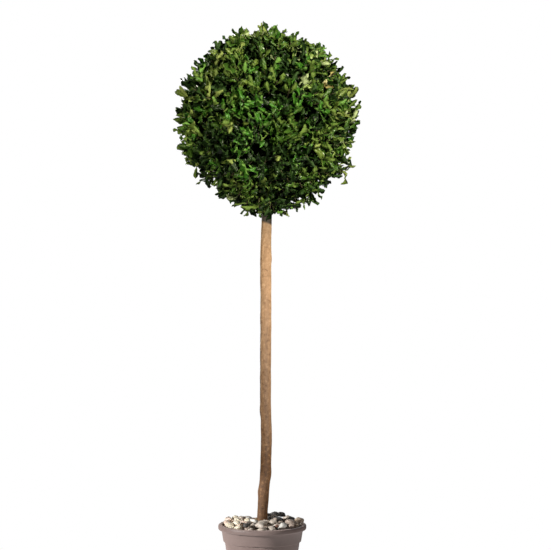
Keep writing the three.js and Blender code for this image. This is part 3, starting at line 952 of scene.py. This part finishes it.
draw = seeded(23)
bough_ways = spread_ways(BOUGHS, nudge=0.1, draw=draw)
bough_tips = CENTRE + BOUGH_REACH * RADIUS * bough_ways
stray_turns = np.radians([angle for angle, reach in STRAYS])
stray_ways = np.stack([np.cos(stray_turns), 0 * stray_turns, np.sin(stray_turns)], axis=1)
twig_ways = np.concatenate([stray_ways, spread_ways(TWIGS, nudge=0.07, draw=draw)])
twig_feet = bough_tips[(twig_ways @ bough_ways.T).argmax(1)]
stray_reach = np.array([reach for angle, reach in STRAYS])
clipped_reach = RADIUS * np.array([TWIG_LEAST + TWIG_SPAN * draw() for twig in range(TWIGS)])
twig_reach = np.concatenate([stray_reach, clipped_reach])
print(f"{len(bough_tips)} boughs, {len(twig_ways)} twigs")

# %% Paths of the twigs
PATH_POINTS = 5
LEAF_ROOM = 38  # twigs stop this far inside the outline, and leaves fill the rest
TWIG_KNEE = 0.66  # as a share of the radius


def bent_paths(feet, knees, tips, t):
    """Points at the shares t of smooth paths from foot to tip, drawn towards a knee on the way."""
    return (1 - t) ** 2 * feet[:, None] + 2 * t * (1 - t) * knees[:, None] + t**2 * tips[:, None]


ring_shares = np.linspace(0, 1, PATH_POINTS)[None, :, None]
twig_tips = CENTRE + twig_ways * (twig_reach - LEAF_ROOM)[:, None]
twig_knees = CENTRE + TWIG_KNEE * RADIUS * twig_ways
twig_paths = bent_paths(twig_feet, twig_knees, twig_tips, ring_shares)
print(f"the twigs are {np.linalg.norm(twig_tips - twig_feet, axis=1).mean():.0f} mm long")

# %% [markdown]
# The shoots carry the leaves, so their ends make the ball's surface. On an even sphere they would look like
# a lawn. Here a shoot ends lower the further it stands off its twig's line, which makes lumps, and where a
# noise is low the shoots have died, which leaves dark gaps. Beside the stem they hang lower, out of the
# shears' way.

# %% Leafy shoots
SHOOTS = 860
BY_STEM = -0.92  # shoots that point further down than this stand by the stem
HANGING = 18  # how much lower the shoots hang there
GAP_PITCH = 5.5  # how finely the gaps are strewn over the ball
GAP_LEVEL = -0.27  # raise it, and more shoots have died
TWIG_SPACING = 0.17  # angle from a twig's line to the edge of its lump
# The next five are shares of the radius.
LUMP_TOP = 0.93  # where the shoots on a twig's line end
LUMP_FALL = 0.08  # how much further in they end at the edge of a lump
LUMP_UNEVEN = 0.025  # how unevenly they end
LUMP_ENDS = (0.66, 0.99)  # no shoot ends further in or out
LEAVING = (0.42, 0.6)  # where the shoots leave their twig
CROOK = 5  # how far knees stand off the straight way

random = np.random.default_rng(23)
shoot_ways = spread_ways(SHOOTS, nudge=0.035, draw=draw)
alive = [noise.noise(Vector(way) * GAP_PITCH) > GAP_LEVEL or way[2] < BY_STEM for way in shoot_ways]
shoot_ways = shoot_ways[alive]
parent = (shoot_ways @ twig_ways.T).argmax(1)
off_twig = np.arccos((shoot_ways * twig_ways[parent]).sum(1).clip(-1, 1))
lump = LUMP_TOP - LUMP_FALL * (off_twig / TWIG_SPACING) ** 2
lump += random.normal(0, LUMP_UNEVEN, len(shoot_ways))
hang = np.interp(shoot_ways[:, 2], (BY_STEM - 0.04, BY_STEM + 0.04), (HANGING, 0))
shoot_ends = RADIUS * lump.clip(*LUMP_ENDS) + hang
leaving = RADIUS * random.uniform(*LEAVING, len(shoot_ways))
shoot_feet = CENTRE + twig_ways[parent] * leaving[:, None]
shoot_tips = CENTRE + shoot_ways * shoot_ends[:, None]
shoot_knees = (shoot_feet + shoot_tips) / 2 + random.normal(0, CROOK, (len(shoot_ways), 3))
print(f"{sum(alive)} of {SHOOTS} shoots are alive")

# %% Shoots beside the stem, and strays
STEM_ROOM = 15  # the shoots' least distance from the stem's axis
TIP_ROOM = 10  # how far above the stem's tip they keep it
STRAY_FOOT, STRAY_KNEE = 0.7, 0.85  # as shares of the radius
STRAY_LEAVES = 34  # what a stray's last leaves add to its reach

for places in (shoot_feet, shoot_knees, shoot_tips):
    beside = places[:, :2] - CENTRE[:2]
    distance = np.linalg.norm(beside, axis=1, keepdims=True)
    in_the_way = (places[:, 2:] < STEM_TIP + TIP_ROOM) & (distance < STEM_ROOM)
    places[:, :2] += np.where(in_the_way, beside / distance * (STEM_ROOM - distance), 0)

# The strays carry a shoot of their own that runs straight on, and its leaves make up their reach.
strays = len(STRAYS)
stray_tips = CENTRE + stray_ways * (stray_reach - STRAY_LEAVES)[:, None]
shoot_feet = np.concatenate([CENTRE + stray_ways * STRAY_FOOT * RADIUS, shoot_feet])
shoot_knees = np.concatenate([CENTRE + stray_ways * STRAY_KNEE * RADIUS, shoot_knees])
shoot_tips = np.concatenate([stray_tips, shoot_tips])
shoot_paths = bent_paths(shoot_feet, shoot_knees, shoot_tips, ring_shares)
shoot_lengths = np.linalg.norm(shoot_tips - shoot_feet, axis=1)
print(f"{len(shoot_paths)} leafy shoots, {shoot_lengths.mean():.0f} mm long")

# %% [markdown]
# ## Boughs and twigs
#
# Each limb is a straight pole of a few rings, modelled once and then bent along its path. A curve with a
# bevel would do for one of them, but a thousand poles in one array take no time at all.

# %% Limbs along paths
ASKEW = np.array([0.31, 0.52, 0.79])  # a way that no limb follows, to measure its turn from
BOUGH_KNEE = 0.25  # as a share of the radius


def unit_pole(name, sides):
    """A pole of unit radius and height, with a ring for each point of a path."""
    rings = [(0, 0, ring / (PATH_POINTS - 1), 1) for ring in range(PATH_POINTS)]
    pole = extruded(name, rings, sides)
    pole.data.uv_layers.new(name="blade")
    return as_pattern(pole)


def limbs(pole, paths, foot_radius, tip_radius):
    """The places of a pole's points, bent along every path."""
    points = points_of(pole)
    ring = np.rint(points[:, 2] * (PATH_POINTS - 1)).astype(int)
    bearing = np.arctan2(points[:, 1], points[:, 0])[None, :, None]
    heading = unit(np.gradient(paths, axis=1))
    aside = unit(np.cross(heading, ASKEW))
    across = np.cross(heading, aside)
    radius = np.linspace(foot_radius, tip_radius, PATH_POINTS)[ring][None, :, None]
    offset = np.cos(bearing) * aside[:, ring] + np.sin(bearing) * across[:, ring]
    return (paths[:, ring] + radius * offset) * MM


leader_foot = np.array([[CENTRE[0], CENTRE[1], STEM_TIP + 0.3]])
leader = bent_paths(leader_foot, (leader_foot + CENTRE) / 2, CENTRE[None], ring_shares)
bough_knees = CENTRE + BOUGH_KNEE * RADIUS * bough_ways + random.normal(0, CROOK, (BOUGHS, 3))
bough_paths = bent_paths(np.repeat(CENTRE[None], BOUGHS, 0), bough_knees, bough_tips, ring_shares)

thick = unit_pole("thick_pole", 9)
thin = unit_pole("thin_pole", 5)
fine = unit_pole("fine_pole", 4)
bough_groups = [(thick, limbs(thick, leader, 10, 7)), (thick, limbs(thick, bough_paths, 6, 3.4))]
twig_groups = [(thin, limbs(thin, twig_paths, 2.8, 1.4)), (fine, limbs(fine, shoot_paths, 1.3, 0.8))]
bough_piece = joined("boughs", bough_groups)
twig_piece = joined("twigs", twig_groups)

# %% [markdown]
# Old wood inside the ball is grey-brown and rough, and the young twigs are a greenish brown. Little light
# comes in here, so what matters is that they stay dark. The base colours are plain, because the export can't
# keep a pattern in its place on a piece of so many parts, and the relief comes from a fine noise.

# %% Wood finishes
for piece, name, code, ridge in (
    (bough_piece, "rough_old_bark", "#4a3c2e", 3),
    (twig_piece, "green_brown_twig_bark", "#4d4429", 1.5),
):
    wood, tree = blank(name)
    place = add(tree, "TexCoord")["Object"]
    rough = add(tree, "TexNoise", {"Vector": place, "Scale": 1 / (ridge * MM), "Detail": 4.0})[0]
    bump = add(tree, "Bump", {"Height": rough, "Strength": 0.7, "Distance": 0.001})[0]
    dull = add(tree, "MapRange", {"Value": rough, "To Min": 0.65, "To Max": 0.9})[0]
    shader = add(tree, "BsdfPrincipled", {"Base Color": colour(code), "Roughness": dull, "Normal": bump})[0]
    add(tree, "OutputMaterial", {"Surface": shader})
    dress(piece, "foliage_ball", "bark", wood)

# %% [markdown]
# ## Leaves
#
# The leaves are leathery and oval, widest past the middle, with a wavy edge and a pale midrib. A plane with a
# picture would be flat from every side. Each pattern leaf is a grid instead: its columns are folded up along
# the midrib, its rows drawn in to the outline, and its edge swung up and down and in and out. A second skin
# under it, joined at the edge, closes it.

# %% Pattern leaves
LEAF_COLUMNS = (-1, -0.09, 0.09, 1)  # shares of the half width
LEAF_ROWS = (  # share of the length, share of the half width
    (0, 0.04), (0.1, 0.13), (0.22, 0.42), (0.34, 0.74), (0.46, 0.93),
    (0.58, 1), (0.7, 0.94), (0.82, 0.74), (0.92, 0.42), (1, 0.04),
)
LEAF_PATTERNS = 9
LEAF_WAVES = 2.3  # waves along a leaf's edge
EDGE_SWING = 0.2  # how far the edge swings in and out, as a share of the half width
# The next four are shares of the length.
LEAF_HALF_WIDTH = (0.13, 0.2)
LEAF_FOLD = (0.0, 0.2)
LEAF_WAVE = (0.05, 0.12)  # how far the edge swings up and down
LEAF_THICKNESS = 0.018  # a stout leaf, so that it stays closed
BLADE, RIB, UNDERSIDE = 0, 1, 2


def leaf_grid(leaf, half_width, fold):
    """Draws a flat grid in to a leaf's outline, folded up along its midrib."""
    bpy.ops.transform.resize(value=(1, 0.5, 1))
    bpy.ops.transform.translate(value=(0, 0.5, 0))
    for old, new in zip(np.linspace(-1, 1, len(LEAF_COLUMNS)), LEAF_COLUMNS):
        pick(leaf, lambda point: abs(point.co.x - old) < 0.05)
        bpy.ops.transform.translate(value=(new - old, 0, fold * abs(new)))
    for old, (new, width) in zip(np.linspace(0, 1, len(LEAF_ROWS)), LEAF_ROWS):
        pick(leaf, lambda point: abs(point.co.y - old) < 0.03)
        bpy.ops.transform.resize(value=(width * half_width, 1, 1 if width > 0.1 else 0))
        bpy.ops.transform.translate(value=(0, new - old, 0))


def wavy_edge(leaf, half_width, wave, random):
    """Swings a leaf's two edges up and down, and in and out."""
    for side in (-1, 1):
        phase = random.uniform(0, 2 * math.pi)
        for share, width in LEAF_ROWS[2:-1]:
            edge = side * width * half_width
            swing = 2 * math.pi * LEAF_WAVES * share + phase
            pick(leaf, lambda point: abs(point.co.y - share) < 0.03 and abs(point.co.x - edge) < 0.01)
            sideways = EDGE_SWING * edge * math.cos(swing)
            bpy.ops.transform.translate(value=(sideways, 0, wave * math.sin(swing)))


def pattern_leaf(name, random):
    """A leaf of unit length along +Y, with its upper face towards +Z."""
    half_width = random.uniform(*LEAF_HALF_WIDTH)
    fold = random.uniform(*LEAF_FOLD)
    wave = random.uniform(*LEAF_WAVE)
    deselect()
    columns, rows = len(LEAF_COLUMNS) - 1, len(LEAF_ROWS) - 1
    bpy.ops.mesh.primitive_grid_add(x_subdivisions=columns, y_subdivisions=rows, size=2)
    leaf = open_piece(name)
    leaf_grid(leaf, half_width, fold)
    wavy_edge(leaf, half_width, wave, random)
    for end in (0, 1):
        pick(leaf, lambda point: abs(point.co.y - end) < 0.01)
        bpy.ops.mesh.merge(type="CENTER")
    bpy.ops.mesh.select_all(action="SELECT")
    bpy.ops.mesh.duplicate()
    bpy.ops.mesh.flip_normals()
    pick(leaf, lambda point: point.select and not point.is_boundary)
    bpy.ops.transform.translate(value=(0, 0, -LEAF_THICKNESS))
    close_piece(leaf, 1e-5)
    for face in leaf.data.polygons:
        on_rib = abs(face.center.x) < 0.02
        face.material_index = UNDERSIDE if face.normal.z < 0 else RIB if on_rib else BLADE
    return as_pattern(leaf)


random = np.random.default_rng(7)
leaf_patterns = [pattern_leaf(f"leaf_{number}", random) for number in range(LEAF_PATTERNS)]
print("faces of the pattern leaves:", [len(mesh.polygons) for mesh in leaf_patterns])

# %% [markdown]
# Leaves stand in a spiral up the outer part of each shoot and crowd at its tip. The lower ones lean far out
# and the last ones stand up, and all turn up to the light. Scattering them over a sphere would be simpler,
# but then they would all lie flat on it like scales. They are drawn a little larger than life, to keep
# their number down.

# %% Where the leaves stand
LEAVES_PER_SHOOT = 10
LEAF_LENGTH = (28, 48)
FIRST_LEAF = 0.2  # where the lowest leaf stands, as a share of the shoot
CROWDING = 0.7  # below 1, the leaves crowd at the tip
LEAN_LOW, LEAN_LESS = 1.3, 0.45  # the lowest leaf's lean in radians, and how much less the last one has
STRAY_LEAN = 0.7  # share of that lean on a stray
SCATTER, ROLL = 0.3, 0.75  # spread of the leaves' turns and leans, and of their roll, in radians
RISE = 0.5  # how strongly the leaves turn up to the light

random = np.random.default_rng(11)
shoots = len(shoot_paths)
every_leaf = (shoots, LEAVES_PER_SHOOT)
step = np.linspace(0, 1, LEAVES_PER_SHOOT)[None, :]
climb = FIRST_LEAF + (1 - FIRST_LEAF) * step**CROWDING
foot_share = (climb + random.uniform(-0.03, 0.0, every_leaf))[..., None]
foot = bent_paths(shoot_feet, shoot_knees, shoot_tips, foot_share)
lower_way = (shoot_knees - shoot_feet)[:, None]
upper_way = (shoot_tips - shoot_knees)[:, None]
heading = unit((1 - foot_share) * lower_way + foot_share * upper_way)

aside = unit(np.cross(heading, random.normal(size=(shoots, 1, 3))))
spiral = np.arange(LEAVES_PER_SHOOT) * GOLDEN_TURN
turn = (spiral + random.normal(0, SCATTER, every_leaf))[..., None]
outward = np.cos(turn) * aside + np.sin(turn) * np.cross(heading, aside)
lean = (LEAN_LOW - LEAN_LESS * step + random.normal(0, SCATTER, every_leaf))[..., None]
lean[:strays] *= STRAY_LEAN
along = unit(np.cos(lean) * heading + np.sin(lean) * outward + np.array([0, 0, RISE]))
upper = np.sin(lean) * heading - np.cos(lean) * outward
upper = unit(upper - (upper * along).sum(2, keepdims=True) * along)

roll = random.normal(0, ROLL, every_leaf)[..., None]
face = np.cos(roll) * upper + np.sin(roll) * np.cross(along, upper)
length = random.uniform(*LEAF_LENGTH, every_leaf) * (1.05 - 0.15 * step)  # shorter towards the tip
print(f"leaves from {length.min():.0f} to {length.max():.0f} mm long")

# %% [markdown]
# Shears cut the ball to a sphere, but not evenly: some shoots have grown on since. So each shoot has a limit
# of its own, mostly close to the sphere and now and then well past it. A leaf that would reach past its
# shoot's limit is left out, and so is one that would reach into the stem.

# %% What the shears leave
SHEARED = 0.993  # where the shears cut, as a share of the radius
REGROWTH = 0.03  # how far shoots have grown on since, as a share of it too
STRAY_ROOM = 5

tip = foot + along * length[..., None]
away = np.linalg.norm(tip - CENTRE, axis=2)
regrowth = random.exponential(REGROWTH, (shoots, 1)) + random.uniform(0, REGROWTH, every_leaf)
limit = RADIUS * (SHEARED + regrowth)
limit[strays:] += hang[:, None]
limit[:strays] = stray_reach[:, None] + STRAY_ROOM
off_stem = np.hypot(tip[..., 0] - CENTRE[0], tip[..., 1] - CENTRE[1])
clear_of_stem = (tip[..., 2] > STEM_TIP) | (off_stem > STEM_ROOM - 1)
kept = (away < limit) & clear_of_stem
print(f"{kept.sum()} of {kept.size} leaves are left, out to {away[kept].max():.0f} mm from the middle")

# %% [markdown]
# The ball is not one green. The shoots of one twig mostly share a tint, and each tint is found more often in
# one part of the ball: bright green below the middle, olive at the upper left, lime at the right, and the
# darkest green low on the left under the ball, where it partly stands in for the shade there. The lowest
# leaves of every shoot are old, and are painted that darkest green, partly as the shade deep inside the
# ball. A few leaves have turned, and one shoot is dead. Every tint is a plain colour for the blade, one for
# the midrib and a paler one for the underside.

# %% Tints of the leaves
LEAF_TINTS = {
    # blade, midrib, underside, where it belongs (x and z from the middle in mm), how far it spreads there,
    # its share all over, its share there
    # deep: the darkest green, gathered low on the left under the ball, partly as painted shade
    "deep": ("#13250a", "#37561b", "#2a4416", (-40, -150), 120, 0.55, 1.6),
    "mid": ("#3d5c1d", "#617e2c", "#637a30", (0, 0), 400, 0.5, 0.5),
    "bright": ("#3a6b1c", "#6aa03e", "#6c963e", (10, -60), 80, 0.16, 1.3),
    "olive": ("#5f722c", "#909e4c", "#88964a", (-50, 90), 110, 0.16, 0.12),
    "lime": ("#8a9f4e", "#b6c47c", "#b4c284", (130, -40), 60, 0.05, 0.1),
    "straw": ("#bdac66", "#d4c58c", "#cfc48c", (136, 60), 24, 0.0, 0.0),
}
TURNED_SHARE = 0.12  # leaves that have turned another colour than their shoot
SHADED_LEAVES = 4  # the lowest leaves of every shoot, painted the darkest tint partly as shade
TINT_DRIFT = 0.16  # how far a shoot's lot may drift from its twig's

from_middle = shoot_tips - CENTRE


def off_place(place):
    """How far each shoot's tip is from a place on the ball's front."""
    return np.hypot(from_middle[:, 0] - place[0], from_middle[:, 2] - place[1])


random = np.random.default_rng(5)
odds = []
for blade, midrib, underside, place, spread, all_over, there in LEAF_TINTS.values():
    odds.append(all_over + there * np.exp(-((off_place(place) / spread) ** 2)))
odds = np.cumsum(np.array(odds) / np.sum(odds, axis=0), axis=0)
of_twig = np.concatenate([np.arange(strays), parent])
lot = (random.uniform(size=len(twig_ways))[of_twig] + random.normal(0, TINT_DRIFT, shoots)) % 1
tint_of_shoot = (lot[None] > odds).sum(0)
tint_of_leaf = np.repeat(tint_of_shoot[:, None], LEAVES_PER_SHOOT, axis=1)
turned = random.uniform(size=every_leaf) < TURNED_SHARE
tint_of_leaf[turned] = random.permutation(tint_of_leaf[turned])
# painted shade: the lowest leaves of every shoot, deep inside the ball, take the darkest tint
tint_of_leaf[:, :SHADED_LEAVES] = list(LEAF_TINTS).index("deep")
off_dead = np.where(from_middle[:, 1] < 0, off_place(LEAF_TINTS["straw"][3]), np.inf)
tint_of_leaf[off_dead.argmin(), SHADED_LEAVES:] = list(LEAF_TINTS).index("straw")
print("leaves of each tint:", dict(zip(LEAF_TINTS, np.bincount(tint_of_leaf[kept]))))

# %% Bending every leaf
TWIST = 0.9  # spread of the twist from foot to tip, in radians
BEND = (-0.2, 1.3)  # mean and spread of the bend, in radians
LEAST_BEND = 0.1  # a straight leaf would need an endless radius


def leaf_places(pattern, chosen, random):
    """Points of the chosen leaves: copies of a pattern, each with its own twist and bend, set at its foot."""
    count = chosen.sum()
    x, y, z = points_of(pattern).T[:, None]
    twist = random.normal(0, TWIST, count)[:, None] * y
    x, z = x * np.cos(twist) - z * np.sin(twist), x * np.sin(twist) + z * np.cos(twist)
    bend = random.normal(*BEND, count)[:, None]
    bend = np.where(np.abs(bend) < LEAST_BEND, LEAST_BEND, bend)
    y, z = (1 / bend - z) * np.sin(bend * y), 1 / bend - (1 / bend - z) * np.cos(bend * y)
    right = np.cross(along[chosen], face[chosen])
    axes = ((x, right), (y, along[chosen]), (z, face[chosen]))
    offset = sum(value[..., None] * way[:, None] for value, way in axes)
    return (foot[chosen][:, None] + length[chosen][:, None, None] * offset) * MM


# %% [markdown]
# A leaf's upper face has a thin wax on it, so it takes a small, soft highlight, a little yellow from the leaf
# itself. Side veins run from the midrib to the edge at a slant, and raise the blade between them. They follow
# the leaf's own UV map: its U runs across and its V along. The midrib and the underside are duller.

# %% Leaf finish
VEINS = 7  # pairs of side veins on a leaf


def leaf_skin(name, code, roughness):
    """A leathery leaf skin of one plain colour."""
    skin, tree = blank(name)
    uv = add(tree, "SeparateXYZ", {0: add(tree, "UVMap")[0]})
    off_rib = add(tree, "Math", {0: uv["X"], 1: 0.5}, operation="SUBTRACT")[0]
    spread = add(tree, "Math", {0: off_rib}, operation="ABSOLUTE")[0]
    slanted = add(tree, "Math", {0: spread, 1: -0.5, 2: uv["Y"]}, operation="MULTIPLY_ADD")[0]
    phase = add(tree, "Math", {0: slanted, 1: 2 * math.pi * VEINS}, operation="MULTIPLY")[0]
    vein = add(tree, "Math", {0: phase}, operation="SINE")[0]
    place = add(tree, "TexCoord")["Object"]
    wax = add(tree, "TexNoise", {"Vector": place, "Scale": 1 / (6 * MM), "Detail": 3.0})[0]
    relief = add(tree, "Math", {0: wax, 1: 0.8, 2: vein}, operation="MULTIPLY_ADD")[0]
    bump = add(tree, "Bump", {"Height": relief, "Strength": 0.25, "Distance": 0.0005})[0]
    gloss = add(tree, "MapRange", {"Value": wax, "To Min": roughness - 0.1, "To Max": roughness + 0.12})[0]
    surface = {"Base Color": colour(code), "Roughness": gloss, "Normal": bump}
    surface |= {"Specular IOR Level": 0.32, "Specular Tint": (1, 1, 0.82, 1)}
    shader = add(tree, "BsdfPrincipled", surface)[0]
    add(tree, "OutputMaterial", {"Surface": shader})
    return skin


# %% Pieces of leaves
MOST_LEAVES = 1800  # in one piece, to keep it under 200,000 triangles

random = np.random.default_rng(3)
pattern_of_leaf = random.integers(LEAF_PATTERNS, size=every_leaf)
for number, (name, (blade, midrib, underside, *where)) in enumerate(LEAF_TINTS.items()):
    skins = [
        leaf_skin(f"waxed_leaf_{name}", blade, 0.3),
        leaf_skin(f"leaf_midrib_{name}", midrib, 0.5),
        leaf_skin(f"leaf_underside_{name}", underside, 0.62),
    ]
    tinted = kept & (tint_of_leaf == number)
    parts = math.ceil(tinted.sum() / MOST_LEAVES)
    for part, patterns in enumerate(np.array_split(np.arange(LEAF_PATTERNS), parts)):
        groups = []
        for pattern in patterns:
            places = leaf_places(leaf_patterns[pattern], tinted & (pattern_of_leaf == pattern), random)
            groups.append((leaf_patterns[pattern], places))
        dress(joined(f"leaves_{name}_{part}", groups), "foliage_ball", "foliage", *skins)
